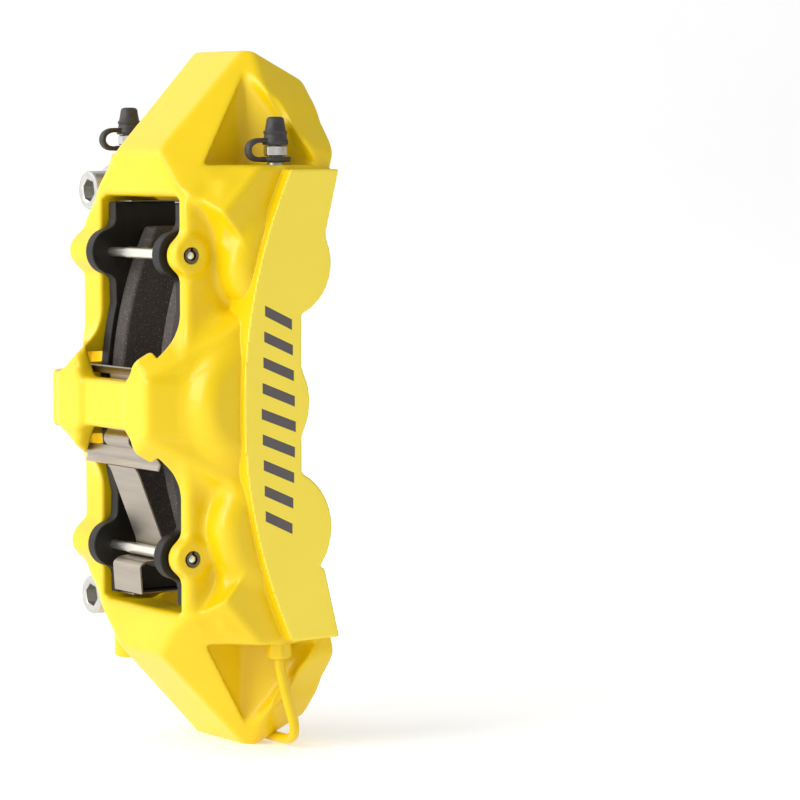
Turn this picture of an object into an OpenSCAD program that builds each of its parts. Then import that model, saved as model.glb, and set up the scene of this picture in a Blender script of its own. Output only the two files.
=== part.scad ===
// Fixed six-piston brake caliper for a ventilated disc.
// Working frame: the disc's centre is the zero point, Y is the disc's axle with the outboard side at -Y,
// Z is up, and the caliper reaches outward along -X. Every place is written as [out, y, z], where out is
// the distance from the axle towards the caliper. place() then moves it all to the part's own frame,
// whose zero point is midway between the two mounting bolts, on the mounting faces.

/* [Disc and mounting] */
// Radius of the disc that turns in the slot
disc_r = 190; // [188:0.5:191]
// Thickness of that disc
disc_t = 32; // [30:1:32]
// Distance from the axle to the two mounting faces
mount_out = 141; // [140:0.5:142]
// Distance from the disc's middle to the bolt axes
mount_y = 60; // [59:0.5:61]
// Distance between the two mounting bolts
mount_spacing = 200; // [199:0.5:201]

/* [Casting] */
// Half length of the casting
end_z = 165.5; // [165:0.5:167]
// Distance from the axle to the flat outer face of both halves
rail_out = 186; // [185.5:0.5:187]
// Height where the sloping end facet begins
facet_z = 119.5; // [119:0.5:120]
// Half thickness at the outboard name face
face_y = 66; // [65.5:0.5:66.5]
// Distance from the axle to the top of the centre bridge
bridge_out = 206; // [205.5:0.5:208]
// Distance from the axle to the underside of the centre bridge
bridge_in = 197.5; // [197:0.5:198]
// Half width of the centre bridge
bridge_half = 13.5; // [12.5:0.5:14]
// Half width of the two windows and of the space for the pads
cavity_y = 35.6; // [35.4:0.1:36]
// Height of the abutments that the pads push on
abutment_z = 95; // [94.5:0.5:95.5]

/* [Pistons and pads] */
// Radius of the circle that the piston centres lie on
piston_ring = 160; // [159:0.5:161]
// Length of each piston
piston_len = 22; // [21.5:0.5:22]
// Thickness of the friction lining
lining_t = 11; // [10:0.5:11]
// Thickness of the steel backing plate
plate_t = 6.5; // [6:0.5:6.5]
// Gap between each lining and the disc
running_gap = 0.5; // [0.4:0.1:0.5]
// Height of the pad pins above and below the middle
pin_z = 71; // [70:0.5:72]
// Distance from the axle to the pad pins
pin_out = 184.5; // [184:0.5:185]
// Radius of the pad pins
pin_r = 2.75; // [2.5:0.25:3]

/* [Fittings] */
// Radius of the mounting bolts' shanks
bolt_r = 6; // [5:0.5:6]
// Length of bolt that stands out of the mounting face
bolt_reach = 26; // [20:1:30]
// Radius of the fluid crossover tube
tube_r = 2.5; // [2:0.5:3]

/* [Hidden] */
$fn = 48;
sizes = [17, 18, 19];                       // piston radii from the top down
heights = [67, 2, -58];                     // piston heights from the top down
names = ["upper", "middle", "lower"];
SIDES = [["outboard", -1], ["inboard", 1]];
// a node's name is its side, what it is, and where it sits

yellow = [0.93, 0.78, 0.05];
steel = [0.62, 0.61, 0.58];
stainless = [0.66, 0.62, 0.57];
black_plate = [0.12, 0.11, 0.10];
lining_grey = [0.20, 0.18, 0.17];
rubber = [0.20, 0.19, 0.20];
fit = 0.05;                                 // radial clearance of a sliding fit

slot_r = disc_r + 3;                        // clearance circle round the disc
slot_y = disc_t / 2 + 2.5;                  // half width of the slot in the end bridges
end_out = 141;                              // outermost point of the end, at its tip
tip = [115, 151];                           // innermost point of the end
nose_y = 18;                                // half width of the tip
rail_y = 43;                                // limit of the outboard rail along the axle
inboard_rail_y = 54;                        // limit of the wider inboard rail
ledge_out = 172;                            // outer face of the drum level
ledge_y = 59;                               // outboard limit of the drum level
channel_z = 101;                            // half height of the step between rail and drums
drum_wall = 8;                              // wall round each bore, at the drums
window_z = 97;                              // outer end of each window
pocket_z = 113;                             // floor of the end pockets
lining_y = disc_t / 2 + running_gap;        // rubbing face of each lining
plate_y = lining_y + lining_t;
shim_y = plate_y + plate_t;
shim_t = 0.8;
nose = shim_y + shim_t;                     // where the pistons press
bore_end = nose + piston_len + 1.2;         // blind end of the bores
seal_y = 41.5;                              // start of the seal groove
seal_w = 4;
seal_h = 3;
boot_w = 3.2;
boot_h = 3;
pad_inner = 134;                            // inner radius of the pads
pad_foot = 126;                             // distance from the axle to the feet of the pads
pad_outer = 188;                            // outer radius of the backing plates
pad_shoulder = 182.5;                       // outer edge of the plates' straight shoulders
ear_r = 11;
pad_gap = 0.35;                             // clearance between the pads and the abutments
bleeder = [[141, 50, 113], [157, 57, 118]]; // seat of each bleed screw, outboard then inboard
blind_boss_z = 132;                         // lower end of the undrilled boss opposite the inboard seat
port_z = 113;                               // depth of both crossover nuts' seats
inlet = [160, 62, -28];                     // fluid inlet, on the inboard face
tube_pass = [128, 163];                     // where the crossover tube rounds the end, as [out, below]
tube_bend = 14;                             // radius of its bends
tube_kink = port_z + 11;                    // depth at which it starts to lean towards the axle
lean_out = 18;                              // lean of its outboard leg
lean_in = 28;                               // lean of its inboard leg
function leg(lean) = (tube_pass[1] - tube_kink - tube_bend * sin(lean)) / cos(lean);
function port_out(lean) = tube_pass[0] + tube_bend * (1 - cos(lean)) + leg(lean) * sin(lean);
// seats of the outboard and inboard crossover nuts, as [out, y]
ports = [[port_out(lean_out), -50], [port_out(lean_in), 45]];
abut_t = 0.6;                               // thickness of the abutment plates
bolt_zs = [mount_spacing / 2, -mount_spacing / 2];
ear_len = 24;                               // clamped length of the mounting ears
head_r = 9.5;
head_h = 12;
washer_t = 2;

// ---------- placing ----------
module place() translate([mount_out, -mount_y, 0]) children();
// a flat shape drawn as [out, z], given thickness from y0 to y1
module slab(y0, y1) translate([0, y1, 0]) rotate([90, 0, 0]) linear_extrude(y1 - y0) mirror([1, 0]) children();
// a flat shape drawn as [y, z], run outward from out0 to out1
module beam(out0, out1) translate([-out1, 0, 0]) rotate([90, 0, 90]) linear_extrude(out1 - out0) children();
module rod_y(out, z, y0, y1, r) translate([-out, y1, z]) rotate([90, 0, 0]) cylinder(r = r, h = y1 - y0);
module rod_x(y, z, out0, out1, r) translate([-out1, y, z]) rotate([0, 90, 0]) cylinder(r = r, h = out1 - out0);
module rod_z(out, y, z0, z1, r0, r1) translate([-out, y, z0]) cylinder(r1 = r0, r2 = r1, h = z1 - z0);
module hex_z(out, y, z0, z1, flats) translate([-out, y, z0]) cylinder(r = flats / sqrt(3), h = z1 - z0, $fn = 6);
// the same thing on one side: -1 outboard, 1 inboard
module side(s) mirror([0, s < 0 ? 1 : 0, 0]) children();
module both_sides() for (s = [-1, 1]) side(s) children();
module both_ends() for (m = [0, 1]) mirror([0, 0, m]) children();
function piston_out(i) = sqrt(pow(piston_ring, 2) - pow(heights[i], 2));
function bore_r(i) = sizes[i] + fit;

// ---------- caliper body ----------
module inner_edge() {
    // the edge nearest the axle: straight ears at the ends, a waist between them, a lobe round each bore
    translate([139, -90]) square([80, 180]);
    for (m = [0, 1]) mirror([0, m]) polygon([[126, 84], [120, 104], [tip[0], tip[1]], [200, 154], [200, 60], [139, 60]]);
    for (i = [0:2]) translate([piston_out(i), heights[i]]) circle(r = sizes[i] + drum_wall);
}
module outline() {
    // the whole casting seen along the axle
    intersection() {
        union() {
            inner_edge();
            for (m = [0, 1]) mirror([0, m]) polygon([tip, [end_out, end_z], [200, end_z], [200, 100], [120, 100]]);
        }
        polygon([
            [rail_out, -window_z], [rail_out, window_z], [rail_out - 1.5, facet_z], [end_out, end_z],
            [tip[0], tip[1]], [100, 138], [100, -138], [tip[0], -tip[1]], [end_out, -end_z], [rail_out - 1.5, -facet_z]
        ]);
    }
}
module name_face() {
    // outline of the flat outboard face: a long arc outside, the lobed edge inside
    intersection() {
        inner_edge();
        translate([-75, 0]) circle(r = 246, $fn = 180);
        translate([100, -112]) square([90, 224]);
    }
}
// room for a leg of the crossover tube beside the end pocket
module tube_room(port, lean) translate(kink(port, 0)) rotate([0, 180 - lean, 0])
    cylinder(r = tube_r + 1.5, h = leg(lean) + 6);
module half_block(inboard) {
    // one half of the casting, drawn on the +Y side
    slab(slot_y, inboard ? inboard_rail_y : rail_y) outline();
    slab(rail_y - 1, ledge_y) difference() {
        outline();
        translate([ledge_out, -channel_z]) square([40, 2 * channel_z]);
    }
    if (inboard) slab(ledge_y - 1, ledge_y + 3) name_face();
    else slab(ledge_y - 1, face_y) name_face();
    for (i = [0:2]) rod_y(piston_out(i), heights[i], cavity_y, bore_end + 4, sizes[i] + drum_wall + 2);
    for (z = [-pin_z, pin_z]) rod_y(pin_out, z, cavity_y, inboard ? 55 : 45, 8.5);
}
module end_bridges() {
    slab(-slot_y - 1, slot_y + 1) intersection() {
        outline();
        union() for (m = [0, 1]) mirror([0, m]) translate([100, 80]) square([120, 100]);
    }
}
module centre_bridge() {
    // a beam over the disc whose ends spread into both halves
    intersection() {
        beam(150, bridge_out) union() {
            square([100, 2 * bridge_half], center = true);
            for (s = [-1, 1]) polygon([
                [s * 22, -bridge_half], [s * 31, -25], [s * 36, -36], [s * 62, -36],
                [s * 62, 36], [s * 36, 36], [s * 31, 25], [s * 22, bridge_half]
            ]);
        }
        // the beam seen along Z: flat on top, falling away to the halves
        rotate([0, 0, 180]) translate([0, 0, -40]) linear_extrude(80) polygon([
            [150, -60], [ledge_out, -60], [186, -57], [199, -50], [bridge_out - 2, -44], [bridge_out, -40],
            [bridge_out, 48], [bridge_out - 2, 54], [199, 57], [186, 59], [ledge_out, 60], [150, 60]
        ]);
    }
}
// a block whose inner face passes through point p with outward normal n, for trimming away what is beyond
module beyond(p, n) {
    len = norm(n);
    translate([-p[0], p[1], p[2]])
        rotate([0, acos(n[2] / len), atan2(n[1], -n[0])])
            translate([-150, -150, 0]) cube([300, 300, 120]);
}
module end_tapers() both_sides() both_ends() {
    beyond([end_out, nose_y, end_z], [-0.405, 0.552, 0.73]);
    beyond([end_out, nose_y, end_z], [0.62, 0.53, 0.58]);
}
module end_pockets() both_sides() both_ends()
    slab(37, 80) polygon([[176, pocket_z], [148, 158], [126, pocket_z]]);
module window() {
    // one window as [y, z]: square at the end, closing in beside the bridge
    polygon([
        [-cavity_y, 36], [-cavity_y, window_z - 4], [-cavity_y + 4, window_z], [cavity_y - 4, window_z],
        [cavity_y, window_z - 4], [cavity_y, 36], [31, 25], [23, bridge_half], [-23, bridge_half], [-31, 25]
    ]);
}
module bore_cuts(s, i) {
    out = piston_out(i);
    z = heights[i];
    side(s) {
        rod_y(out, z, cavity_y - 1, bore_end, bore_r(i));
        rod_y(out, z, seal_y, seal_y + seal_w, sizes[i] + seal_h);
        rod_y(out, z, cavity_y - 1, cavity_y + boot_w, sizes[i] + boot_h);
    }
}
module mount_ears() for (z = bolt_zs) {
    rod_x(mount_y, z, mount_out, mount_out + ear_len, 13.5);
    translate([-mount_out - ear_len, 40, z - 13.5]) cube([ear_len, mount_y - 40, 27]);
}
module mount_cuts() for (z = bolt_zs) {
    // room for the bracket inside the mounting face and for the bolt head outside the ear
    translate([-mount_out, 44, z - 17]) cube([60, 50, 34]);
    rod_x(mount_y, z, mount_out + ear_len, 240, 14);
    translate([-240, mount_y - 1, z - 14]) cube([240 - mount_out - ear_len, 40, 28]);
    rod_x(mount_y, z, 100, 220, bolt_r + 0.6);
}
module port_cones() {
    // the swelling under each bleed screw and each tube nut
    for (p = ports) mirror([0, 0, 1]) rod_z(p[0], p[1] + sign(p[1]) * 2, 98, port_z, 3, 8.5);
    rod_z(bleeder[0][0], -bleeder[0][1] - 2, 98, pocket_z, 2, 9.5);
    rod_z(bleeder[1][0], bleeder[1][1], 100, bleeder[1][2], 9, 9);
    rod_z(bleeder[1][0], bleeder[1][1], -blind_boss_z, -100, 8, 9);
}
module port_holes() {
    for (s = [-1, 1]) {
        b = bleeder[s < 0 ? 0 : 1];
        rod_z(b[0], s * b[1], b[2] - 11, b[2] + 50, 4 + fit, 4 + fit);
        rod_z(b[0], s * b[1], b[2], b[2] + 60, 9, 9);
    }
    tube_room(ports[0], lean_out);
    tube_room(ports[1], lean_in);
    for (p = ports) {
        rod_z(p[0], p[1], -port_z - 30, -port_z + 7, 5 + fit, 5 + fit);
        rod_z(p[0], p[1], -port_z - 30, -port_z, 8, 8);
    }
    rod_y(inlet[0], inlet[2], inlet[1] - 12, inlet[1] + 20, 5);
}
module caliper_body() color(yellow) place() difference() {
    union() {
        difference() {
            union() {
                side(-1) half_block(false);
                half_block(true);
                end_bridges();
            }
            end_tapers();
            end_pockets();
        }
        centre_bridge();
        mount_ears();
        port_cones();
        rod_y(inlet[0], inlet[2], 50, inlet[1] + 4, 9);
    }
    // the slot for the disc, the space for the pads and the two windows
    translate([0, slot_y, 0]) rotate([90, 0, 0]) cylinder(r = slot_r, h = 2 * slot_y, $fn = 180);
    translate([-bridge_in, -cavity_y, -abutment_z - abut_t])
        cube([bridge_in - 90, 2 * cavity_y, 2 * (abutment_z + abut_t)]);
    both_ends() beam(slot_r - 30, 240) window();
    for (s = [-1, 1]) for (i = [0:2]) bore_cuts(s, i);
    mount_cuts();
    port_holes();
    for (z = [-pin_z, pin_z]) {
        rod_y(pin_out, z, -80, 53, pin_r + fit);
        rod_y(pin_out, z, -80, -42, 3.7);
    }
}

// ---------- pistons, seals and boots ----------
module piston(s, i) color(steel) place() side(s) difference() {
    rod_y(piston_out(i), heights[i], nose, nose + piston_len, sizes[i]);
    rod_y(piston_out(i), heights[i], nose - 1, nose + piston_len - 5, sizes[i] - 4);
    // the groove that the dust boot's lip sits in
    difference() {
        rod_y(piston_out(i), heights[i], nose + 1.6, nose + 3.2, sizes[i] + 1);
        rod_y(piston_out(i), heights[i], nose + 1, nose + 4, sizes[i] - 1);
    }
}
module ring(s, i, y0, y1, inner, outer) color(rubber) place() side(s) difference() {
    rod_y(piston_out(i), heights[i], y0, y1, outer);
    rod_y(piston_out(i), heights[i], y0 - 1, y1 + 1, inner);
}
module seal(s, i) ring(s, i, seal_y, seal_y + seal_w, sizes[i] + 0.03, sizes[i] + seal_h);
module dust_boot(s, i) ring(s, i, cavity_y + 0.2, cavity_y + boot_w, sizes[i] + 0.1, sizes[i] + boot_h);

// ---------- pads ----------
module pad_outline(inner, outer, half) intersection() {
    difference() {
        circle(r = outer, $fn = 180);
        circle(r = inner, $fn = 180);
    }
    translate([pad_foot, -half]) square([100, 2 * half]);
}
module backing_plate(s) color(black_plate) place() side(s) slab(plate_y, shim_y) difference() {
    union() {
        pad_outline(pad_inner, pad_outer, abutment_z - pad_gap);
        for (z = [-pin_z, pin_z]) {
            translate([pin_out, z]) circle(r = ear_r);
            translate([150, z - ear_r]) square([pin_out - 150, 2 * ear_r]);
        }
        translate([150, pad_gap - abutment_z]) square([pad_shoulder - 150, 2 * (abutment_z - pad_gap)]);
    }
    for (z = [-pin_z, pin_z]) translate([pin_out, z]) circle(r = pin_r + 0.4);
}
module friction_lining(s) color(lining_grey) place() side(s) slab(lining_y, plate_y) difference() {
    pad_outline(pad_inner + 3, pad_outer - 2, abutment_z - 12);
    // wear slot across the middle
    translate([100, -1.5]) square([100, 3]);
}
module shim(s) color(stainless) place() side(s) slab(shim_y, nose) difference() {
    pad_outline(pad_inner + 4, pad_outer - 6, abutment_z - 10);
    for (i = [0:2]) translate([piston_out(i), heights[i]]) circle(r = sizes[i] - 6);
}

// thin plates that the ends of the pads slide on
module abutment_plates() color(stainless) place() both_sides() both_ends()
    translate([-178, slot_y + 1.5, abutment_z]) cube([46, cavity_y - slot_y - 2.5, abut_t]);

// ---------- pins, clips and spring ----------
module pad_pin(z) color(steel) place() {
    rod_y(pin_out, z, -41, 10, pin_r);
    translate([-pin_out, 16, z]) rotate([90, 0, 0]) cylinder(r1 = pin_r - 0.5, r2 = pin_r, h = 6);
    rod_y(pin_out, z, 16, 52.5, pin_r - 0.5);
}
module pad_pin_clips() color(stainless) place() for (z = [-pin_z, pin_z]) difference() {
    rod_y(pin_out, z, -45.5, -42, 3.6);
    rod_y(pin_out, z, -46, -41, 2.4);
    translate([-pin_out - 0.6, -46, z]) cube([1.2, 5, 5]);
}
spring_t = 1;
// the leaf's own line as [out, z], from the lip above the bridge to the tab below the lower pin
spring_path = [
    [196.4, 20], [195, 17.5], [195, 13.5], [194.7, -8], [196.4, -10.5], [196.6, -13.5], [198.8, -16],
    [198.8, -18.5], [196.2, -21], [196.7, -24.5], [194.8, -27], [196.2, -30], [194.2, -33], [181, -66],
    [180.4, -70], [181.6, -74.5], [191, -75.5], [193.6, -77.5], [192.6, -91]
];
module leaf(a, b, half) {
    // a strip of the leaf between two of its points
    for (k = [a:b - 1]) slab(-half, half) strip(spring_path[k], spring_path[k + 1]);
}
module strip(p, q) {
    d = (q - p) / norm(q - p);
    n = [-d[1], d[0]] * spring_t / 2;
    polygon([p - n, q - n, q + n, p + n]);
    for (e = [p, q]) translate(e) circle(r = spring_t / 2, $fn = 24);
}
module anti_rattle_spring() color(stainless) place() {
    leaf(0, 2, 33);
    leaf(2, 8, 11.5);
    leaf(8, 11, 33.5);
    leaf(11, 18, 12.5);
}

// ---------- bleed screws ----------
module bleed_screw(k) color(steel) place() {
    b = bleeder[k];
    y = k == 0 ? -b[1] : b[1];
    difference() {
        union() {
            rod_z(b[0], y, b[2] - 10, b[2] + 1, 4, 4);
            rod_z(b[0], y, b[2] + 1, b[2] + 4, 3, 3);
            hex_z(b[0], y, b[2] + 4, b[2] + 9, 10);
            rod_z(b[0], y, b[2] + 9, b[2] + 20, 3, 2.6);
        }
        rod_z(b[0], y, b[2] - 6, b[2] + 30, 1, 1);
    }
}
module bleed_cap(k) color(rubber) place() {
    b = bleeder[k];
    y = k == 0 ? -b[1] : b[1];
    difference() {
        union() {
            rod_z(b[0], y, b[2] + 9.2, b[2] + 11.5, 6.2, 6.2);
            rod_z(b[0], y, b[2] + 11.5, b[2] + 23.5, 6.2, 3.8);
        }
        rod_z(b[0], y, b[2] + 8, b[2] + 21, 3.1, 3.1);
    }
}
module bleed_cap_strap(k) color(rubber) place() {
    // a ring under the hexagon, and the strap that ties the cap to it
    b = bleeder[k];
    y = k == 0 ? -b[1] : b[1];
    difference() {
        rod_z(b[0], y, b[2] + 1.2, b[2] + 3.8, 7.2, 7.2);
        rod_z(b[0], y, b[2] - 1, b[2] + 5, 3.1, 3.1);
    }
    translate([-b[0], y, b[2]]) rotate([90, 0, 0]) linear_extrude(4, center = true) difference() {
        translate([-9.5, 6.4]) circle(r = 6.2);
        translate([-9.5, 6.4]) circle(r = 4);
        translate([-6.5, -10]) square([20, 40]);
    }
}

// ---------- crossover tube ----------
// A stop along the tube is [centre, direction, lean], where lean turns the ring's own axes about Y.
function lean_axis(a) = [cos(a), 0, sin(a)];
function down_axis(a) = [sin(a), 0, -cos(a)];
function kink(port, lean) = [
    -port[0] + tube_bend * (1 - cos(lean)), port[1], -tube_kink - tube_bend * sin(lean)
];
// one half, from its nut down to the middle of the run round the end; turn is the way it goes along Y
function half_tube(port, lean) = let (
    turn = -sign(port[1]),
    down = down_axis(lean),
    corner = kink(port, lean) + (leg(lean) - tube_bend) * down
) [
    [[-port[0], port[1], -port_z + 4], down_axis(0), 0],
    for (a = [0:lean / 2:lean]) [kink(port, a), down_axis(a), a],
    for (a = [0:10:90]) [
        corner + tube_bend * ([0, turn * (1 - cos(a)), 0] + down * sin(a)),
        down * cos(a) + [0, turn * sin(a), 0], lean
    ]
];
outboard_half = half_tube(ports[0], lean_out);
inboard_half = half_tube(ports[1], lean_in);
// the inboard half is followed backwards
whole_tube = concat(outboard_half, [
    for (k = [len(inboard_half) - 1:-1:0]) [inboard_half[k][0], -inboard_half[k][1], inboard_half[k][2]]
]);
tube_sides = 20;
module crossover_tube() color(yellow) place() {
    rings = len(whole_tube);
    polyhedron(
        points = [for (stop = whole_tube) for (k = [0:tube_sides - 1]) stop[0] + tube_r * (
            cos(k * 360 / tube_sides) * lean_axis(stop[2])
            + sin(k * 360 / tube_sides) * cross(stop[1], lean_axis(stop[2]))
        )],
        faces = [
            [for (k = [0:tube_sides - 1]) k],
            for (n = [0:rings - 2]) for (k = [0:tube_sides - 1]) let (next = (k + 1) % tube_sides) [
                n * tube_sides + k, (n + 1) * tube_sides + k, (n + 1) * tube_sides + next, n * tube_sides + next
            ],
            [for (k = [tube_sides - 1:-1:0]) (rings - 1) * tube_sides + k]
        ]
    );
}
module tube_nut(k) color(yellow) place() difference() {
    union() {
        hex_z(ports[k][0], ports[k][1], -port_z - 8, -port_z, 11);
        rod_z(ports[k][0], ports[k][1], -port_z, -port_z + 6, 5, 5);
    }
    rod_z(ports[k][0], ports[k][1], -port_z - 20, -port_z + 20, tube_r + 0.6, tube_r + 0.6);
}

// ---------- mounting hardware ----------
module mounting_bolts() color(steel) place() for (z = bolt_zs) difference() {
    union() {
        rod_x(mount_y, z, mount_out - bolt_reach, mount_out, bolt_r);
        rod_x(mount_y, z, mount_out, mount_out + ear_len + washer_t, bolt_r + 0.25);
        rod_x(mount_y, z, mount_out + ear_len + washer_t, mount_out + ear_len + washer_t + head_h, head_r);
    }
    translate([-mount_out - ear_len - washer_t - head_h - 1, mount_y, z]) rotate([0, 90, 0])
        cylinder(r = 10 / sqrt(3), h = 7, $fn = 6);
}
module bolt_washers() color(steel) place() for (z = bolt_zs) difference() {
    rod_x(mount_y, z, mount_out + ear_len, mount_out + ear_len + washer_t, 12);
    rod_x(mount_y, z, mount_out, mount_out + ear_len + 10, bolt_r + 0.5);
}

// ---------- what is drawn ----------
caliper_body();
for (s = SIDES) {
    for (i = [0:2]) {
        piston(s[1], i);
        seal(s[1], i);
        dust_boot(s[1], i);
    }
    backing_plate(s[1]);
    friction_lining(s[1]);
    shim(s[1]);
    bleed_screw(s[1] < 0 ? 0 : 1);
    bleed_cap(s[1] < 0 ? 0 : 1);
    bleed_cap_strap(s[1] < 0 ? 0 : 1);
    tube_nut(s[1] < 0 ? 0 : 1);
}
abutment_plates();
pad_pin(pin_z);  // upper_pad_pin
pad_pin(-pin_z);  // lower_pad_pin
pad_pin_clips();
anti_rattle_spring();
crossover_tube();
mounting_bolts();
bolt_washers();
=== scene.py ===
"""Looks for the brake caliper: a smooth cast body, detailed fittings, materials, light and camera.

The body and its cast fillets come from a distance function. It works in millimetres, in the disc's own
terms: out is the distance from the axle towards the caliper, y runs along the axle (outboard is
negative), z is up, side is |y| and end is |z|. to_frame() turns those into the CAD frame in metres.
"""
import math

import bmesh
import bpy
import numpy as np
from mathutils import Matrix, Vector

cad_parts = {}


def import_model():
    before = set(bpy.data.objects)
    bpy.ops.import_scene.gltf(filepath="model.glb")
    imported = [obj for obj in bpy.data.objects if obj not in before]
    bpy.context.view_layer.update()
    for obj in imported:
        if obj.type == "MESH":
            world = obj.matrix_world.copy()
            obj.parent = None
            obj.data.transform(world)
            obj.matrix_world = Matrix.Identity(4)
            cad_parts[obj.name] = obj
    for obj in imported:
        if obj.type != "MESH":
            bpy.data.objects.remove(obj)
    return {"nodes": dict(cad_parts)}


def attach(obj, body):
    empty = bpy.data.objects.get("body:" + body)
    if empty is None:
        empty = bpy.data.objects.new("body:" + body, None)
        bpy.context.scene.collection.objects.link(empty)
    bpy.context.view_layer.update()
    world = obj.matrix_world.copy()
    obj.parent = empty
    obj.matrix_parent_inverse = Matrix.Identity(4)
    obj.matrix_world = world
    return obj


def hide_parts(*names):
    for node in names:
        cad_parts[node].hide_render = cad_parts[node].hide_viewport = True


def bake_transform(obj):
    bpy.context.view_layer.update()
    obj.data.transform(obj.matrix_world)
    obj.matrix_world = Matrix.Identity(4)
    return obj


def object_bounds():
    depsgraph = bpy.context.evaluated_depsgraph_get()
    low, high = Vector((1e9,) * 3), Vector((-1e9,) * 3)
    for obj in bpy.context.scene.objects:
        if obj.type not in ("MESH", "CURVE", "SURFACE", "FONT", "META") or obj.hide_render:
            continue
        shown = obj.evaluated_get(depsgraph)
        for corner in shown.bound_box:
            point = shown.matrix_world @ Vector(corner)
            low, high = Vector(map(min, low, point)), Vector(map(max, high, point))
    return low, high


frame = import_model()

cad_low, cad_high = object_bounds()

MOUNT_OUT, MOUNT_Y = 141.0, 60.0       # where the CAD frame's origin lies, seen from the disc
SIDES = {"outboard": -1, "inboard": 1}

# ---------------------------------------------------------------- dimensions of the casting
RAIL_OUT = 186.0                        # outer plane of both rails
RAIL_Y, INNER_RAIL_Y = 43.5, 54.0       # limits of the outboard and the inboard rail along the axle
LEDGE_Y = 52.0                          # limit of the level that carries the drums
FACE_Y, INNER_FACE_Y = 66.0, 62.0       # name face, and the flat face on the inboard side
END_BLOCK_Y = 59.0                      # how far the end blocks and the bridge reach along the axle
SLOT_R, SLOT_Y = 193.0, 18.5            # room for the disc
CAVITY_Y, ABUTMENT_Z = 35.6, 95.6       # room for the pads
BRIDGE_OUT, BRIDGE_IN, BRIDGE_HALF = 206.0, 197.5, 13.0
PIN_OUT, PIN_Z = 184.5, 71.0
PISTON_RING, PISTON_Z, PISTON_R = 160.0, (67.0, 2.0, -58.0), (17.0, 18.0, 19.0)
BORE_END = 58.0                         # blind end of the bores
LOBE_R = (25.0, 27.5, 29.0)             # lobes of the name face
DRUM_R = (26.0, 29.5, 29.0)             # bore housings, where they leave the rails
DRUM_END, RIM_R = 62.0, 9.0             # flat end of the bore housings, and the round of their rims
POCKET_Z = 113.0                        # flat floor of the four end pockets
BOLT_Z, BOLT_R, EAR = 100.0, 6.0, 24.0  # mounting bolts, and the length of the ears that they pass
BRACKET_ROOM = (87.5, 117.0)            # heights between which the bracket fits beside each ear
BLEEDER = {"outboard": (141.0, -50.0, 113.0), "inboard": (157.0, 57.0, 118.0)}
PORT = {"outboard": (139.95, -50.0, -113.0), "inboard": (146.88, 45.0, -113.0)}
BLIND_BOSS_Z = -132.0                   # lower end of the undrilled boss opposite the inboard bleed screw
INLET = (160.0, 66.0, -28.0)
CAST_BOX = ((108, -70, -170), (210, 78, 170))   # the casting, with some room round it
SLAB = 12                               # layers sampled at a time
PLATE_Y, LINING_Y = (27.5, 34), (16.5, 27.5)    # faces of the pads' steel and of their lining
TUBE_OUT, TUBE_Z = 128, -163            # where the crossover tube runs round the disc


def to_frame(out, y, z):
    """A place given from the disc, in the CAD frame in metres."""
    return Vector(((MOUNT_OUT - out) / 1000, (y - MOUNT_Y) / 1000, z / 1000))


def piston_out(k):
    return math.sqrt(PISTON_RING ** 2 - PISTON_Z[k] ** 2)


# ---------------------------------------------------------------- distance functions
def smin(a, b, k):
    """The nearer of two shapes, with a fillet about k wide where they meet."""
    h = np.maximum(k - np.abs(a - b), 0) / k
    return np.minimum(a, b) - h * h * k / 4


def smax(a, b, k):
    return -smin(-a, -b, k)


def both(k, *shapes):
    """What is inside every shape, with edges rounded by about k."""
    d = shapes[0]
    for s in shapes[1:]:
        d = smax(d, s, k)
    return d


def either(k, *shapes):
    d = shapes[0]
    for s in shapes[1:]:
        d = smin(d, s, k)
    return d


def plane(p, n, *axes):
    """Distance outside the plane through p with outward normal n, over the given axes."""
    size = math.sqrt(sum(c * c for c in n))
    return sum((a - q) * (c / size) for a, q, c in zip(axes, p, n))


def rod(u, v, cu, cv, r):
    return np.hypot(u - cu, v - cv) - r


def between(a, low, high):
    return np.abs(a - (low + high) / 2) - (high - low) / 2


def end_facets(out, side, end):
    """The sloping faces of both ends: the long facet, its tapering flank, the tip and its flank."""
    return both(
        1.6,
        plane((141, 165.5), (0.722, 0.692), out, end),
        plane((183, 21, 119.9), (0.61, 0.557, 0.562), out, side, end),
        plane((137.5, 165.5), (-0.52, 0.854), out, end),
        plane((137.5, 25, 165.5), (-0.1, 0.78, 0.617), out, side, end),
        end - 166,
    )


def lobes(out, z, grow=0.0):
    """The three round lobes on the edge nearest the axle."""
    return either(1.5, *[rod(out, z, piston_out(k), PISTON_Z[k], LOBE_R[k] + grow) for k in range(3)])


def inner_edge(out, z, end):
    """Outside the edge nearest the axle: a waist between lobes, and straight ears at both ends."""
    ears = both(2, plane((123, 82), (-1, -0.25), out, end), plane((114.5, 151), (-1, 0.1), out, end),
                77 - end)
    waist = 137 - out
    return either(2, ears, both(1, waist, end - 84), lobes(out, z))


def end_block(out, side, end):
    """What joins the halves past each end of the disc slot, out to the name face."""
    return both(2, side - END_BLOCK_Y, plane((162.6, 75.4), (1.18, -1), out, end),
                plane((115, 151), (-1, 0.12), out, end))


def drum(out, side, z, k):
    """One bore housing: a drum with a well rounded rim round a flat end."""
    wall = rod(out, z, piston_out(k) - 1, PISTON_Z[k], DRUM_R[k]) + RIM_R
    cap = side - DRUM_END + RIM_R
    outside = np.hypot(np.maximum(wall, 0), np.maximum(cap, 0))
    inside = np.minimum(np.maximum(wall, cap), 0)
    return np.maximum(outside + inside - RIM_R, 30 - side)


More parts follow.
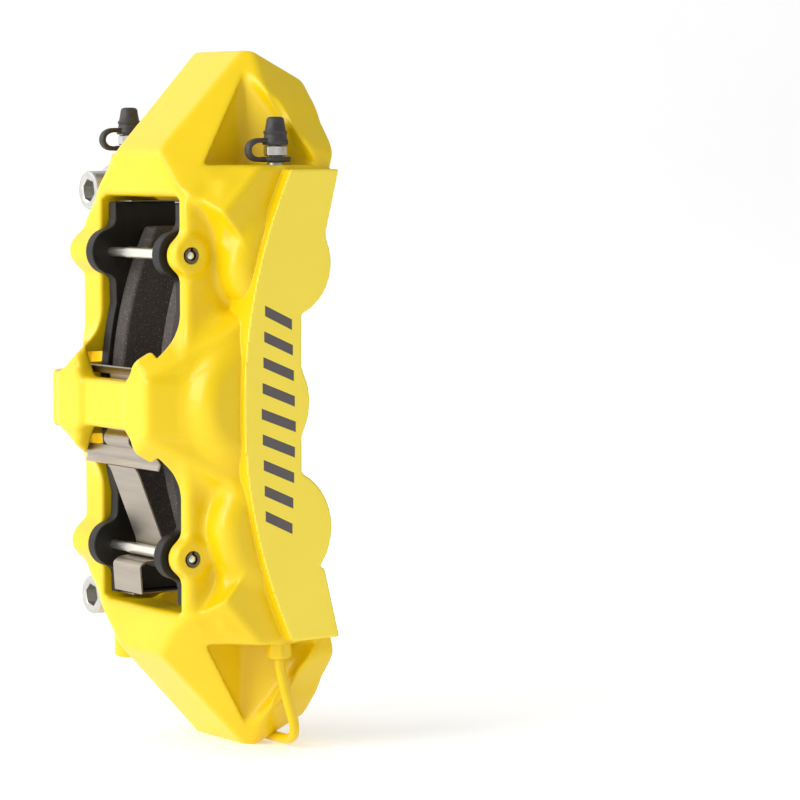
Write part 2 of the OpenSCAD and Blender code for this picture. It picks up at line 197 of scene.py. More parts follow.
def bridge(out, y, side, z, end):
    """The beam over the disc, and the fans that carry it down to both halves."""
    beam = both(3, out - BRIDGE_OUT, end - BRIDGE_HALF,
                plane((BRIDGE_OUT, 41), (0.447, 0.894), out, side), 160 - out, side - END_BLOCK_Y)
    fan = both(
        2.5,
        out - BRIDGE_OUT,
        plane((BRIDGE_OUT, 14, 40), (0.618, 0.679, 0.397), out, end, side),
        plane((BRIDGE_OUT, 40), (0.447, 0.894), out, side),
        21 - side, side - END_BLOCK_Y, 150 - out, end - 44,
    )
    inboard = both(3, out - BRIDGE_OUT, end - BRIDGE_HALF - 1, between(y, 20, 53),
                   plane((BRIDGE_OUT, 50), (0.25, 0.97), out, y), 160 - out)
    return either(4, beam, fan, inboard)


def name_face(out, y, z, end):
    """The flat plate on the outboard side, and the plainer one on the inboard side."""
    outline = both(0.8, np.hypot(out + 76.7, z) - 245.7, end - 111, inner_edge(out, z, end))
    outer = both(0.7, outline, -y - FACE_Y, y + 46)
    inner = both(1.5, outline, y - INNER_FACE_Y, 46 - y)
    return np.minimum(outer, inner)


def pocket(out, side, end):
    """The three-sided hollow in each corner, which holds a bleed screw or a tube nut."""
    return both(
        2.5,
        POCKET_Z - end,
        plane((173, POCKET_Z), (0.824, 0.566), out, end),
        plane((124, POCKET_Z), (-0.88, 0.42), out, end),
        plane((146, 28, POCKET_Z), (0.212, -0.976, -0.044), out, side, end),
        plane((146, 28, POCKET_Z), (-0.774, -0.633, -0.02), out, side, end),
    )


def window(out, y, side, end):
    """The opening over the pads, on each side of the bridge."""
    return both(3.5, side - CAVITY_Y + 1.5, end - 97.5, BRIDGE_HALF - 0.5 - end, 165 - out,
                plane((34, 36), (0.87, -0.5), side, end))


def body(out, y, z):
    side, end = np.abs(y), np.abs(z)
    facets = end_facets(out, side, end)
    edge = inner_edge(out, z, end)
    rails = both(4, facets, out - RAIL_OUT, side - np.where(y < 0, RAIL_Y, INNER_RAIL_Y), edge)
    rise = 13 * np.clip((end - 52) / 24, 0, 1)
    ledge = both(4, facets, out - 158 - rise, side - LEDGE_Y, edge, end - 106)
    ends = both(2, facets, out - RAIL_OUT, edge, end_block(out, side, end))
    d = either(5, rails, ledge, ends)
    d = either(4, d, *[both(1, drum(out, side, z, k), lobes(out, z, 3)) for k in range(3)])
    d = smax(d, -pocket(out, side, end), 3)
    d = smin(d, bridge(out, y, side, z, end), 7)
    bosses = both(2.5, rod(out, end, PIN_OUT, PIN_Z, 8.5), between(side, 28, np.where(y < 0, 45, 55)))
    d = smin(d, bosses, 5)
    d = smin(d, name_face(out, y, z, end), 0.6)
    # swellings under the outboard bleed screw and both tube nuts
    for out_p, y_p, z_p in (BLEEDER["outboard"], *PORT.values()):
        height = abs(z_p) - math.copysign(1, z_p) * z
        cone = both(1.2, rod(out, y, out_p, y_p, 8.6) + np.maximum(height, 0) * 0.5, -height, height - 20)
        d = smin(d, cone, 2)
    # the boss under the inboard bleed screw, and its undrilled twin at the lower end
    out_b, y_b, z_b = BLEEDER["inboard"]
    for z_p in (z_b, BLIND_BOSS_Z):
        d = smin(d, both(2, rod(out, y, out_b, y_b, 9), end - abs(z_p), 96 - end, -z * z_p), 3)
    web = both(2, between(y, 38, MOUNT_Y), end - 113.5, 86.5 - end)
    ear = smin(rod(y, end, MOUNT_Y, BOLT_Z, 13.5), web, 1)
    d = smin(d, both(2, ear, out - MOUNT_OUT - EAR, MOUNT_OUT - out), 3)
    d = smin(d, both(1.5, rod(out, z, INLET[0], INLET[2], 9), between(y, 50, INLET[1])), 3)
    return cuts(d, out, y, z, side, end)


def cuts(d, out, y, z, side, end):
    """Everything that is cut out of the casting, most of it machined."""
    slot = both(0.6, np.hypot(out, z) - SLOT_R, side - SLOT_Y)
    cavity = both(0.6, side - CAVITY_Y, end - ABUTMENT_Z, out - BRIDGE_IN)
    d = smax(d, -np.minimum(slot, cavity), 1.5)
    d = smax(d, -window(out, y, side, end), 4)
    # the notches in the inboard rail that clear the ends of the spring
    d = smax(d, -both(1, rod(y, end, 43, 20, 7), 183 - out), 1.5)
    for k in range(3):
        bore = both(0.5, rod(out, z, piston_out(k), PISTON_Z[k], PISTON_R[k] + 0.3), side - BORE_END,
                    30 - side)
        lip = both(0.5, rod(out, z, piston_out(k), PISTON_Z[k], PISTON_R[k] + 3), between(side, 30, 38.8))
        d = smax(d, -np.minimum(bore, lip), 0.5)
    behind = both(0.5, between(y, 44, 90), between(end, *BRACKET_ROOM), out - MOUNT_OUT)
    head = both(0.5, rod(y, end, MOUNT_Y, BOLT_Z, 14), MOUNT_OUT + EAR - out)
    head = np.minimum(head, both(0.5, MOUNT_OUT + EAR - out, between(end, 86, 114), 59 - y))
    hole = rod(y, end, MOUNT_Y, BOLT_Z, BOLT_R + 0.4)
    d = smax(d, -np.minimum(np.minimum(behind, head), hole), 0.7)
    for out_b, y_b, z_b in BLEEDER.values():
        seat = np.minimum(rod(out, y, out_b, y_b, 4.1), both(0.5, rod(out, y, out_b, y_b, 9), z_b - z))
        d = smax(d, -both(0.3, seat, z_b - 16 - z), 0.6)
    for out_p, y_p, z_p in PORT.values():
        seat = np.minimum(both(0.3, rod(out, y, out_p, y_p, 5.1), z - z_p - 8),
                          both(0.5, rod(out, y, out_p, y_p, 8), z - z_p))
        d = smax(d, -seat, 0.6)
    d = smax(d, -both(0.3, rod(out, z, INLET[0], INLET[2], 5), 50 - y), 0.8)
    pin_hole = both(0.2, rod(out, end, PIN_OUT, PIN_Z, 2.9), y - 53)
    pin_mouth = both(0.2, rod(out, end, PIN_OUT, PIN_Z, 3.8), y + 42)
    return smax(d, -np.minimum(pin_hole, pin_mouth), 0.8)


# ---------------------------------------------------------------- turning distances into a mesh
def surface_net(field, low, cell):
    """Quads round the zero level of a sampled field, one point per crossed cell."""
    inside = field < 0
    nx, ny, nz = field.shape
    total = np.zeros((nx - 1, ny - 1, nz - 1, 3), np.float32)
    count = np.zeros((nx - 1, ny - 1, nz - 1), np.int8)
    corners = [np.array(c) for c in np.ndindex(2, 2, 2)]

    def part(a, c):
        return a[c[0]:nx - 1 + c[0], c[1]:ny - 1 + c[1], c[2]:nz - 1 + c[2]]

    for a in corners:
        for axis in range(3):
            if a[axis]:
                continue
            b = a.copy()
            b[axis] = 1
            fa, fb = part(field, a), part(field, b)
            crossed = part(inside, a) != part(inside, b)
            share = np.where(crossed, fa / np.where(crossed, fa - fb, 1), 0)
            for k in range(3):
                total[..., k] += np.where(crossed, a[k] + (share if k == axis else 0), 0)
            count += crossed
    used = count > 0
    index = np.full(used.shape, -1, np.int64)
    index[used] = np.arange(used.sum())
    where = np.argwhere(used)
    points = low + cell * (where + total[used] / count[used][:, None])
    quads = []
    for axis in range(3):
        u, v = [k for k in range(3) if k != axis]
        first = [slice(1, n - 1) for n in (nx, ny, nz)]
        second = list(first)
        first[axis], second[axis] = slice(0, (nx, ny, nz)[axis] - 1), slice(1, (nx, ny, nz)[axis])
        flip = inside[tuple(first)] & ~inside[tuple(second)]
        change = inside[tuple(first)] != inside[tuple(second)]
        at = np.argwhere(change) + 1
        at[:, axis] -= 1
        ring = []
        for du, dv in ((-1, -1), (0, -1), (0, 0), (-1, 0)):
            place = at.copy()
            place[:, u] += du
            place[:, v] += dv
            ring.append(index[tuple(place.T)])
        ring = np.stack(ring, 1)
        turn = flip[change] ^ (axis == 1)
        ring[~turn] = ring[~turn][:, ::-1]
        quads.append(ring)
    return points, np.concatenate(quads)


def gradient(shape, points, step=0.05):
    g = np.empty_like(points)
    for k in range(3):
        move = np.zeros(3)
        move[k] = step
        g[:, k] = (shape(*(points + move).T) - shape(*(points - move).T)) / (2 * step)
    return g


def mesh_from_shape(name, shape, low, high, cell):
    """A mesh of shape(out, y, z) <= 0 inside a box given from the disc, in millimetres."""
    axes = [np.arange(a, b + cell, cell, dtype=np.float32) for a, b in zip(low, high)]
    field = np.concatenate([
        shape(*np.meshgrid(axes[0][k:k + SLAB], axes[1], axes[2], indexing="ij"))
        for k in range(0, len(axes[0]), SLAB)
    ])
    points, quads = surface_net(field, np.array([a[0] for a in axes]), cell)
    for _ in range(3):
        slope = gradient(shape, points)
        size = np.maximum((slope ** 2).sum(1), 0.2)
        points -= slope * np.clip(shape(*points.T) / size, -cell, cell)[:, None] * 0.9
    normals = gradient(shape, points)
    normals /= np.maximum(np.linalg.norm(normals, axis=1), 1e-6)[:, None]
    places = np.stack([(MOUNT_OUT - points[:, 0]), points[:, 1] - MOUNT_Y, points[:, 2]], 1) / 1000
    normals[:, 0] *= -1
    mesh = bpy.data.meshes.new(name)
    mesh.from_pydata(places.tolist(), [], quads[:, ::-1].tolist())
    mesh.update()
    mesh.shade_smooth()
    mesh.normals_split_custom_set_from_vertices(normals.tolist())
    return finish_object(name, mesh)


def finish_object(name, mesh):
    obj = bpy.data.objects.new(name, mesh)
    bpy.context.scene.collection.objects.link(obj)
    return obj


# ---------------------------------------------------------------- materials
class Nodes:
    """A small helper that builds one procedural material."""

    def __init__(self, name):
        self.material = bpy.data.materials.new(name)
        self.material.use_nodes = True
        self.tree = self.material.node_tree
        self.shader = self.tree.nodes["Principled BSDF"]
        self.place = self.tree.nodes.new("ShaderNodeTexCoord").outputs["Object"]

    def noise(self, scale, detail=3, rough=0.5, stretch=None):
        """Noise with features about 1/scale metres across."""
        place = self.place
        if stretch:
            mapping = self.tree.nodes.new("ShaderNodeMapping")
            mapping.inputs["Scale"].default_value = stretch
            self.tree.links.new(place, mapping.inputs["Vector"])
            place = mapping.outputs["Vector"]
        node = self.tree.nodes.new("ShaderNodeTexNoise")
        node.inputs["Scale"].default_value = scale
        node.inputs["Detail"].default_value = detail
        node.inputs["Roughness"].default_value = rough
        self.tree.links.new(place, node.inputs["Vector"])
        return node.outputs["Fac"]

    def ramp(self, value, low, high, start=0.0, end=1.0):
        """Value from start..end turned into low..high."""
        node = self.tree.nodes.new("ShaderNodeMapRange")
        for name, number in zip(("From Min", "From Max", "To Min", "To Max"), (start, end, low, high)):
            node.inputs[name].default_value = number
        self.tree.links.new(value, node.inputs["Value"])
        return node.outputs["Result"]

    def blend(self, value, first, second):
        """Mixes two colours, or an earlier mix and a colour, by value."""
        node = self.tree.nodes.new("ShaderNodeMix")
        node.data_type = "RGBA"
        self.tree.links.new(value, node.inputs["Factor"])
        for socket, colour in ((node.inputs[6], first), (node.inputs[7], second)):
            if isinstance(colour, tuple):
                socket.default_value = (*colour, 1)
            else:
                self.tree.links.new(colour, socket)
        return node.outputs[2]

    def bump(self, value, depth, strength=1.0):
        node = self.tree.nodes.new("ShaderNodeBump")
        node.inputs["Distance"].default_value = depth
        node.inputs["Strength"].default_value = strength
        self.tree.links.new(value, node.inputs["Height"])
        self.tree.links.new(node.outputs["Normal"], self.shader.inputs["Normal"])

    def feed(self, **sockets):
        """Sets sockets by name, underscores standing for spaces: numbers directly, outputs by a link."""
        for name, value in sockets.items():
            socket = self.shader.inputs[name.replace("_", " ")]
            if isinstance(value, bpy.types.NodeSocket):
                self.tree.links.new(value, socket)
            else:
                socket.default_value = value
        return self.material


def yellow_paint(name, dark, light, rough, coat):
    """Thick glossy powder coat over a casting: faint mottling, and a very fine orange peel."""
    m = Nodes(name)
    tone = m.ramp(m.noise(38, 4), 0, 1, 0.3, 0.7)
    m.bump(m.noise(650, 2), 0.00012, 0.35)
    return m.feed(Base_Color=m.blend(tone, dark, light),
                  Roughness=m.ramp(m.noise(120, 3), rough, rough + 0.1),
                  Coat_Weight=coat, Coat_Roughness=0.12, Specular_IOR_Level=0.35)


def metal(name, dark, light, rough, grain=(1, 1, 1), scale=400, depth=0.00004):
    """Bare or plated metal, with grain that can be drawn out along one axis."""
    m = Nodes(name)
    noise = m.noise(scale, 5, 0.6, stretch=grain)
    m.bump(noise, depth, 0.5)
    return m.feed(Base_Color=m.blend(noise, dark, light), Metallic=1.0,
                  Roughness=m.ramp(m.noise(90, 4), rough - 0.07, rough + 0.09))


def black_plate_paint():
    """Thin black powder coat on a blanked steel plate, greyed by brake dust in patches."""
    m = Nodes("black_plate_paint")
    dust = m.ramp(m.noise(60, 5, 0.6), 0, 1, 0.42, 0.75)
    m.bump(m.noise(900, 3), 0.00008, 0.5)
    return m.feed(Base_Color=m.blend(dust, (0.008, 0.007, 0.006), (0.028, 0.024, 0.02)),
                  Roughness=m.ramp(dust, 0.5, 0.68), Specular_IOR_Level=0.35)


def friction_compound():
    """Sintered pad lining: dark, rough, with bright metal specks."""
    m = Nodes("friction_compound")
    speck = m.ramp(m.noise(1500, 2), 0, 1, 0.62, 0.68)
    m.bump(m.noise(800, 5, 0.7), 0.0003, 0.7)
    base = m.blend(m.noise(200, 4), (0.035, 0.029, 0.026), (0.07, 0.06, 0.053))
    return m.feed(Base_Color=m.blend(speck, base, (0.24, 0.2, 0.16)), Roughness=0.82)


def black_rubber():
    m = Nodes("black_rubber")
    bloom = m.ramp(m.noise(150, 4), 0, 1, 0.4, 0.8)
    m.bump(m.noise(1200, 3), 0.00006, 0.5)
    return m.feed(Base_Color=m.blend(bloom, (0.028, 0.025, 0.025), (0.065, 0.058, 0.057)),
                  Roughness=m.ramp(bloom, 0.5, 0.68))


def mark_paint():
    """Dark grey screen-printed paint of the plain bars on the name face."""
    m = Nodes("mark_paint")
    m.bump(m.noise(900, 2), 0.00005, 0.3)
    tone = m.blend(m.noise(140, 3), (0.075, 0.06, 0.06), (0.095, 0.078, 0.078))
    return m.feed(Base_Color=tone, Roughness=m.ramp(m.noise(200, 2), 0.36, 0.46), Coat_Weight=0.2)


YELLOW = yellow_paint("yellow_powder_coat", (0.80, 0.56, 0.001), (0.84, 0.59, 0.002), 0.3, 0.15)
# paint of the flat name face: a lighter, paler copy of the yellow, its painted sheen standing in for the
# light on that face
FACE_PAINTED_SHEEN_YELLOW = yellow_paint("face_paint_painted_sheen", (0.96, 0.76, 0.07), (0.98, 0.78, 0.08), 0.45, 0.0)
STAINLESS = metal("rolled_stainless", (0.33, 0.285, 0.235), (0.46, 0.41, 0.35), 0.34, (1, 0.06, 1), 500)
ZINC = metal("zinc_plate", (0.46, 0.45, 0.42), (0.66, 0.65, 0.62), 0.34, (1, 1, 1), 700)
ANODISED = metal("hard_anodised", (0.20, 0.19, 0.17), (0.32, 0.31, 0.29), 0.4, (1, 0.2, 1), 500)
GROUND = metal("ground_steel", (0.72, 0.7, 0.62), (0.82, 0.8, 0.73), 0.3, (1, 6, 1), 350, 0.00001)
CLIP_STEEL = metal("dark_spring_steel", (0.10, 0.085, 0.07), (0.17, 0.15, 0.12), 0.42, (1, 1, 1), 500)
CUT_EDGE = metal("worn_plate_edge", (0.28, 0.255, 0.25), (0.42, 0.385, 0.38), 0.5, (1, 1, 0.2), 450)
PLATE = black_plate_paint()
LINING = friction_compound()
RUBBER = black_rubber()
MARK = mark_paint()


def dress(obj, material):
    obj.data.materials.clear()
    obj.data.materials.append(material)
    return obj


# ---------------------------------------------------------------- the caliper body
cell = 1.0
shell = mesh_from_shape("cast_body", body, *CAST_BOX, cell)
dress(shell, YELLOW)
# the flat name face is painted paler and less saturated than the rest: a painted sheen that stands in for
# the light the flat face catches; its paint is also duller
shell.data.materials.append(FACE_PAINTED_SHEEN_YELLOW)
centres = np.empty(3 * len(shell.data.polygons))
shell.data.polygons.foreach_get("center", centres)
on_face = centres[1::3] < to_frame(0, 0.4 - FACE_Y, 0).y
shell.data.polygons.foreach_set("material_index", on_face.astype(np.int32))
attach(shell, "caliper")
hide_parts("caliper_body")


# ---------------------------------------------------------------- turned, swept and stamped pieces
OUTWARD, INBOARD, UP, DOWN = (-1, 0, 0), (0, 1, 0), (0, 0, 1), (0, 0, -1)


def plain(angle):
    return np.ones_like(angle)


def hexagon(angle):
    """Radius of a hexagon as a share of its corner radius, with slightly eased corners."""
    from_flat = (angle + math.pi / 6) % (math.pi / 3) - math.pi / 6
    return np.minimum(math.cos(math.pi / 6) / np.cos(from_flat), 0.98)


def knurl(angle):
    return 1 - 0.018 * (np.round(angle / (2 * math.pi) * len(angle)) % 3 == 0)


def grid_mesh(name, rings, material, crease, loop=False, merge_with=None):
    """Quads between closed rings of points (metres); the ends are capped unless the rings loop round."""
    mesh = merge_with or bmesh.new()
    rows = [[mesh.verts.new(point) for point in ring] for ring in rings]
    n = len(rows[0])
    pairs = list(zip(rows, rows[1:])) + ([(rows[-1], rows[0])] if loop else [])
    for first, second in pairs:
        for k in range(n):
            mesh.faces.new((first[k], first[(k + 1) % n], second[(k + 1) % n], second[k]))
    if not loop:
        mesh.faces.new(rows[0])
        mesh.faces.new(rows[-1])
    if name is None:
        return mesh
    bmesh.ops.recalc_face_normals(mesh, faces=mesh.faces)
    data = bpy.data.meshes.new(name)
    mesh.to_mesh(data)
    mesh.free()
    data.shade_smooth()
    data.set_sharp_from_angle(angle=math.radians(crease))
    return dress(finish_object(name, data), material)


def lathe_rings(place, axis, stations, segments):
    """Rings round an axis through place, each given as (distance along it, radius, section)."""
    axis = Vector(axis)
    u = axis.orthogonal().normalized()
    v = axis.cross(u)
    angle = np.arange(segments) * 2 * math.pi / segments
    rings = []
    for along, radius, section in stations:
        r = radius * section(angle)
        ring = np.outer(np.cos(angle) * r, u) + np.outer(np.sin(angle) * r, v) + np.array(axis) * along
        rings.append(ring / 1000 + np.array(to_frame(*place)))
    return rings


def turned(name, material, places, axis, stations, segments=72, loop=False, crease=32):
    """One lathe profile at each of the places, as one piece."""
    mesh = None
    for k, place in enumerate(places):
        last = k == len(places) - 1
        mesh = grid_mesh(name if last else None, lathe_rings(place, axis, stations, segments), material,
                         crease, loop, mesh)
    return mesh


def thread(start, end, radius, pitch=1.25):
    """Stations of a thread's crests and roots."""
    count = int((end - start) / pitch)
    return [(start + (k + half) * pitch, radius - 0.65 * pitch * (half != 0.25), plain)
            for k in range(count) for half in (0.0, 0.25)]


def rounded(points, reach, steps=6):
    """A path with every inner corner replaced by a curve that starts reach before it."""
    points = [Vector(p) for p in points]
    path = [points[0]]
    for before, corner, after in zip(points, points[1:], points[2:]):
        a, b = before - corner, after - corner
        a, b = a * (min(reach, a.length * 0.5) / a.length), b * (min(reach, b.length * 0.5) / b.length)
        path += [corner + a * (1 - t) ** 2 + b * t ** 2 for t in (k / steps for k in range(steps + 1))]
    return path + [points[-1]]


def pipe(name, material, path, radius, segments=24):
    """A round tube along a path of (out, y, z) points."""
    path = [to_frame(*p) for p in path]
    rings, side = [], None
    for k, point in enumerate(path):
        along = (path[min(k + 1, len(path) - 1)] - path[max(k - 1, 0)]).normalized()
        side = (side - along * side.dot(along)).normalized() if side else along.orthogonal().normalized()
        across = along.cross(side)
        rings.append([point + (side * math.cos(a) + across * math.sin(a)) * radius / 1000
                      for a in (2 * math.pi * n / segments for n in range(segments))])
    return grid_mesh(name, rings, material, 40)


def strip_rings(path, y, half, thick):
    """A flat strip along a path of (out, z) points, half wide on each side of y, with eased edges."""
    ease = thick * 0.22
    section = [(-half, ease - thick / 2), (-half + ease, -thick / 2), (half - ease, -thick / 2),
               (half, ease - thick / 2), (half, thick / 2 - ease), (half - ease, thick / 2),
               (-half + ease, thick / 2), (-half, thick / 2 - ease)]
    rings = []
    for k, point in enumerate(path):
        along = (path[min(k + 1, len(path) - 1)] - path[max(k - 1, 0)]).normalized()
        rings.append([to_frame(point.x - along.y * w, y + v, point.y + along.x * w) for v, w in section])
    return rings


def plate(name, material, outline, y0, y1, ease, edge_material=None):
    """A stamped plate: an outline of (out, z) points given thickness, with eased edges."""
    mesh = bmesh.new()
    for island in outline:
        low = [mesh.verts.new(to_frame(out, y0, z)) for out, z in island]
        high = [mesh.verts.new(to_frame(out, y1, z)) for out, z in island]
        mesh.faces.new(low)
        mesh.faces.new(high)
        for k in range(len(island)):
            n = (k + 1) % len(island)
            side = mesh.faces.new((low[k], low[n], high[n], high[k]))
            side.material_index = 1 if edge_material else 0
    bmesh.ops.recalc_face_normals(mesh, faces=mesh.faces)
    data = bpy.data.meshes.new(name)
    mesh.to_mesh(data)
    mesh.free()
    data.shade_smooth()
    data.set_sharp_from_angle(angle=math.radians(35))
    obj = dress(finish_object(name, data), material)
    if edge_material:
        data.materials.append(edge_material)
    bevel = obj.modifiers.new("eased_edges", "BEVEL")
    bevel.width, bevel.segments, bevel.limit_method, bevel.angle_limit = ease / 1000, 2, "ANGLE", 0.9
    return obj


def place_piece(piece, body_name, node):
    """Rides a piece on its body in place of a CAD node."""
    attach(piece, body_name)
    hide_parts(node)
    return piece


# ---------------------------------------------------------------- pads
def arc(radius, low, high, step=3):
    """Points of a circle about the axle, as (out, z), from z = low to z = high."""
    count = max(2, int(abs(high - low) / step))
    heights = [low + (high - low) * k / count for k in range(count + 1)]
    return [(math.sqrt(radius ** 2 - z * z), z) for z in heights]


def backing_outline():
    """Square shoulders, an arc between the ears, and one ear round each pin."""
    half, shoulder, foot, bow = 94.65, 182.5, 126.0, 46.0
    flank = ((15.5, 182.5), (13.2, 183.1), (11.7, 184.6))
    ear = [(z, out) for z, out in flank]
    turns = [math.pi * k / 18 for k in range(1, 18)]
    ear += [(11 * math.cos(a), PIN_OUT + 11 * math.sin(a)) for a in turns]
    ear += [(-z, out) for z, out in reversed(flank)]
    upper_ear = [(out, PIN_Z + z) for z, out in ear]
    lower_ear = [(out, -PIN_Z + z) for z, out in ear]
    outer = [(shoulder, half)] + upper_ear + arc(188, bow, -bow) + lower_ear
    outer.append((shoulder, -half))
    inner = [(foot, -half)] + [(out, z) for out, z in arc(134, -45, 45) if out > foot] + [(foot, half)]
    return outer + inner


def lining_outline(low, high):
    return arc(186, low, high) + arc(137, high, low)


for side_name, sign in SIDES.items():
    steel = plate(f"{side_name}_pad_plate", PLATE, [backing_outline()],
                  sign * PLATE_Y[0], sign * PLATE_Y[1], 0.5, CUT_EDGE)
    place_piece(steel, f"{side_name}_pad", f"{side_name}_backing_plate")
    block = plate(f"{side_name}_pad_block", LINING, [lining_outline(1.5, 83), lining_outline(-83, -1.5)],
                  sign * LINING_Y[0], sign * LINING_Y[1], 1.2)
    place_piece(block, f"{side_name}_pad", f"{side_name}_friction_lining")


# ---------------------------------------------------------------- pins and spring
pin_profile = [(-12, 1.2, plain), (-11.6, 1.9, plain), (-10.8, 2.3, plain), (-8, 2.4, plain),
               (-7.8, 2.75, plain), (43, 2.75, plain), (49, 2.25, plain), (85, 2.25, plain),
               (85.3, 1.8, plain)]
for height_name, z in (("upper", PIN_Z), ("lower", -PIN_Z)):
    pin = turned(f"{height_name}_pin", GROUND, [(PIN_OUT, -33, z)], INBOARD, pin_profile, 48)
    place_piece(pin, "caliper", f"{height_name}_pad_pin")

SPRING = ((196.6, 17), (195.4, 15.3), (195, 13.5), (194.7, -8), (196.4, -10.5), (196.6, -13.5),
          (198.8, -16), (198.8, -18.5), (196.2, -21), (196.7, -24.5), (194.8, -27), (196.2, -30),
          (194.2, -33), (181, -66), (180.4, -70), (181.6, -74.5), (191, -75.5), (193.6, -77.5),
          (192.6, -90.5))
SPRING_PARTS = ((0, 2, 33), (2, 8, 11.5), (8, 11, 33.5), (11, 18, 12.5))


def leaf_spring():
    """One bent leaf whose width steps between its bars and its tongue; shared points keep it joined."""
    mesh = None
    for k, (first, last, half) in enumerate(SPRING_PARTS):
        path = rounded([Vector(p) for p in SPRING[first:last + 1]], 1.3, 5)
        name = "leaf_spring" if k == len(SPRING_PARTS) - 1 else None
        mesh = grid_mesh(name, strip_rings(path, 0, half, 1.0), STAINLESS, 30, merge_with=mesh)
    return mesh


place_piece(leaf_spring(), "caliper", "anti_rattle_spring")


# ---------------------------------------------------------------- bleed screws, caps and straps
screw_profile = [(-10, 3.2, plain)] + thread(-9.5, 0.5, 4.0) + [
    (1.0, 3.9, plain), (1.2, 3.0, plain), (4.0, 3.0, plain), (4.05, 4.7, plain), (4.5, 5.77, hexagon),
    (8.5, 5.77, hexagon), (9.0, 4.7, plain), (9.05, 3.1, plain), (17.5, 2.9, plain), (18.2, 3.1, plain),
    (19.6, 2.4, plain), (19.9, 1.6, plain), (19.9, 1.0, plain), (6, 1.0, plain)]
cap_profile = [
    (18.5, 0.4, plain), (18.5, 3.2, plain), (9.6, 3.25, plain), (9.2, 3.6, plain), (9.2, 5.7, plain),
    (9.6, 6.15, plain), (11.4, 6.15, plain), (12.1, 5.5, plain), (14.2, 5.25, plain), (14.6, 5.65, plain),
    (15.7, 5.6, plain), (16.1, 5.0, plain), (19.5, 4.35, plain), (21.4, 4.1, plain), (22.2, 3.4, plain),
    (22.5, 2.2, plain), (22.5, 0.4, plain)]
collar_profile = [(1.2, 3.2, plain), (1.2, 6.7, plain), (1.7, 7.2, plain), (3.3, 7.2, plain),
                  (3.8, 6.7, plain), (3.8, 3.2, plain)]
for side_name, (out, y, z) in BLEEDER.items():
    screw = turned(f"{side_name}_bleeder", ZINC, [(out, y, z)], UP, screw_profile)
    place_piece(screw, f"{side_name}_bleed_screw", f"{side_name}_bleed_screw")
    cap = turned(f"{side_name}_rubber_cap", RUBBER, [(out, y, z)], UP, cap_profile, crease=50)
    place_piece(cap, f"{side_name}_bleed_cap", f"{side_name}_bleed_cap")
    # the strap leaves the collar, loops outward and runs up into the side of the cap
    loop = rounded([Vector((out + o, z + h)) for o, h in
                    ((5, 2.5), (12.5, 2.3), (15.6, 5.6), (14.6, 9.6), (10.5, 11.6), (4.6, 11.2))], 4, 6)
    collar = grid_mesh(None, lathe_rings((out, y, z), UP, collar_profile, 48), RUBBER, 50, loop=True)
    strap = grid_mesh(f"{side_name}_strap", strip_rings(loop, y, 2, 2.2), RUBBER, 50, merge_with=collar)
    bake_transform(strap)
    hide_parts(f"{side_name}_bleed_cap_strap")


# ---------------------------------------------------------------- crossover tube and its nuts
out_a, y_a, z_a = PORT["outboard"]
out_b, y_b, z_b = PORT["inboard"]
route = [(out_a, y_a, z_a + 4), (out_a, y_a, z_a - 13), (TUBE_OUT, y_a, TUBE_Z),
         (TUBE_OUT, y_b, TUBE_Z), (out_b, y_b, z_b - 14.5), (out_b, y_b, z_b + 4)]
place_piece(pipe("lacquered_tube", YELLOW, rounded(route, 15, 9), 2.5), "caliper", "crossover_tube")
nut_profile = [(-6, 3.2, plain), (-6, 4.9, plain), (-0.2, 4.9, plain), (0, 5.9, plain),
               (0.5, 6.35, hexagon), (7.0, 6.35, hexagon), (7.6, 5.4, plain), (8.0, 4.4, plain),
               (8.0, 3.1, plain)]
for side_name, place in PORT.items():
    nut = turned(f"{side_name}_flare_nut", YELLOW, [place], DOWN, nut_profile, loop=True)
    place_piece(nut, "caliper", f"{side_name}_tube_nut")


# ---------------------------------------------------------------- mounting bolts
bolt_profile = [(-26, 3.5, plain), (-26, 5.0, plain)] + thread(-25.2, -3, 6.0, 1.75) + [
    (-2, 6.0, plain), (0.2, 6.0, plain), (0.4, 6.25, plain), (26.0, 6.25, plain), (26.0, 9.1, plain),
    (26.4, 9.5, plain), (27.5, 9.5, plain), (27.6, 9.5, knurl), (35.6, 9.5, knurl), (35.7, 9.5, plain),
    (37.1, 9.5, plain), (37.8, 9.0, plain), (38.0, 8.4, plain), (38.0, 6.6, plain), (37.4, 5.77, hexagon),
    (31.0, 5.77, hexagon), (30.4, 1.0, plain)]
washer_profile = [(24.0, 6.5, plain), (24.0, 11.7, plain), (24.3, 12.0, plain), (25.7, 12.0, plain),
                  (26.0, 11.7, plain), (26.0, 6.5, plain)]
bolt_places = [(MOUNT_OUT, MOUNT_Y, BOLT_Z), (MOUNT_OUT, MOUNT_Y, -BOLT_Z)]
place_piece(turned("socket_bolts", ZINC, bolt_places, OUTWARD, bolt_profile, 108), "caliper",
            "mounting_bolts")
place_piece(turned("flat_washers", ZINC, bolt_places, OUTWARD, washer_profile, 72, loop=True), "caliper",
            "bolt_washers")


# ---------------------------------------------------------------- plain bars on the outboard face
def face_bars():
    """A column of plain slanted bars, printed where a maker would put a mark."""
    bars = []
    for k in range(9):
        z, reach = 44 - 12 * k, 9.5 - 0.5 * abs(k - 4)
        near, far = 150 - reach, 150 + reach
        bars.append([(near, z - 3), (far, z + 4), (far, z - 1), (near, z - 8)])
    obj = plate("face_bars", MARK, bars, -FACE_Y - 0.02, -FACE_Y + 0.5, 0.05)
    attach(obj, "caliper")


face_bars()


# ---------------------------------------------------------------- what the CAD nodes look like
def cad_material(node):
    endings = (("piston", ANODISED), ("seal", RUBBER), ("boot", RUBBER), ("abutment_plates", STAINLESS),
               ("shim", STAINLESS), ("clips", CLIP_STEEL))
    return next((m for ending, m in endings if node.endswith(ending)), ZINC)


for name, node in frame["nodes"].items():
    for entry in node.material_slots:
        entry.material = cad_material(name)


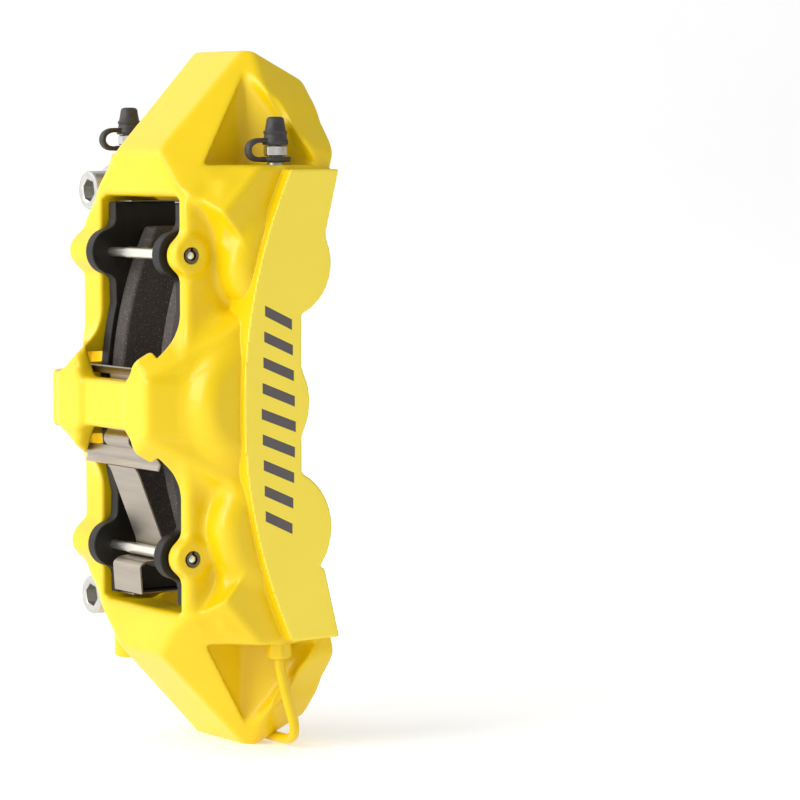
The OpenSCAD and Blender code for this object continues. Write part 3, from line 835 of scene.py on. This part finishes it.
# ---------------------------------------------------------------- stage, light and camera
def backdrop():
    """A pale floor that curves up behind the object."""
    low = cad_low.z - 0.001
    profile = [(-20.0, low), (1.2, low)]
    profile += [(1.2 + 1.0 * math.sin(a), low + 1.0 - 1.0 * math.cos(a))
                for a in (math.radians(step) for step in range(6, 91, 6))]
    profile.append((2.2, low + 3.5))
    mesh = bpy.data.meshes.new("backdrop")
    rows = [[(x, y, z) for y, z in profile] for x in (-20.0, 20.0)]
    n = len(profile)
    mesh.from_pydata(rows[0] + rows[1], [], [(k, k + 1, n + k + 1, n + k) for k in range(n - 1)])
    mesh.shade_smooth()
    obj = finish_object("backdrop", mesh)
    m = Nodes("pale_floor")
    tone = m.blend(m.noise(3, 2), (0.93, 0.93, 0.93), (0.95, 0.95, 0.95))
    dress(obj, m.feed(Base_Color=tone, Roughness=0.9, Emission_Color=tone, Emission_Strength=0.34))


def area_light(name, place, aim, size, watts):
    lamp = bpy.data.lights.new(name, "AREA")
    lamp.shape, lamp.size, lamp.size_y, lamp.energy = "RECTANGLE", size[0], size[1], watts
    obj = bpy.data.objects.new(name, lamp)
    obj.location = place
    obj.rotation_euler = (Vector(aim) - Vector(place)).to_track_quat("-Z", "Y").to_euler()
    bpy.context.scene.collection.objects.link(obj)


def world(strength):
    w = bpy.data.worlds.new("studio")
    w.use_nodes = True
    w.node_tree.nodes["Background"].inputs["Color"].default_value = (1, 1, 1, 1)
    w.node_tree.nodes["Background"].inputs["Strength"].default_value = strength
    bpy.context.scene.world = w


def camera(azimuth, elevation, distance, right, up, lens):
    """Looks from the given angle; right and up move it sideways, which keeps the caliper off centre."""
    a, e = math.radians(azimuth), math.radians(elevation)
    back = Vector((math.sin(a) * math.cos(e), -math.cos(a) * math.cos(e), math.sin(e)))
    across = Vector((math.cos(a), math.sin(a), 0))
    data = bpy.data.cameras.new("camera")
    data.lens = lens
    obj = bpy.data.objects.new("camera", data)
    obj.location = to_frame(150, 0, 0) + back * distance + across * right + back.cross(across) * up
    obj.rotation_euler = (-back).to_track_quat("-Z", "Y").to_euler()
    bpy.context.scene.collection.objects.link(obj)
    bpy.context.scene.camera = obj


backdrop()
world(0.5)
area_light("key", (-2.1, 0.0, 0.9), (0, -0.05, 0), (1.1, 1.8), 34)
area_light("fill", (0.9, -1.9, 0.7), (0, -0.05, 0), (1.2, 1.6), 2)
area_light("rim", (-1.3, 1.2, 1.2), (0, -0.05, 0), (0.8, 1.4), 8)
bpy.context.scene.view_settings.view_transform = "Standard"
camera(azimuth=-35.38, elevation=4.54, distance=1.584, right=0.0948, up=-0.0007, lens=147.5)
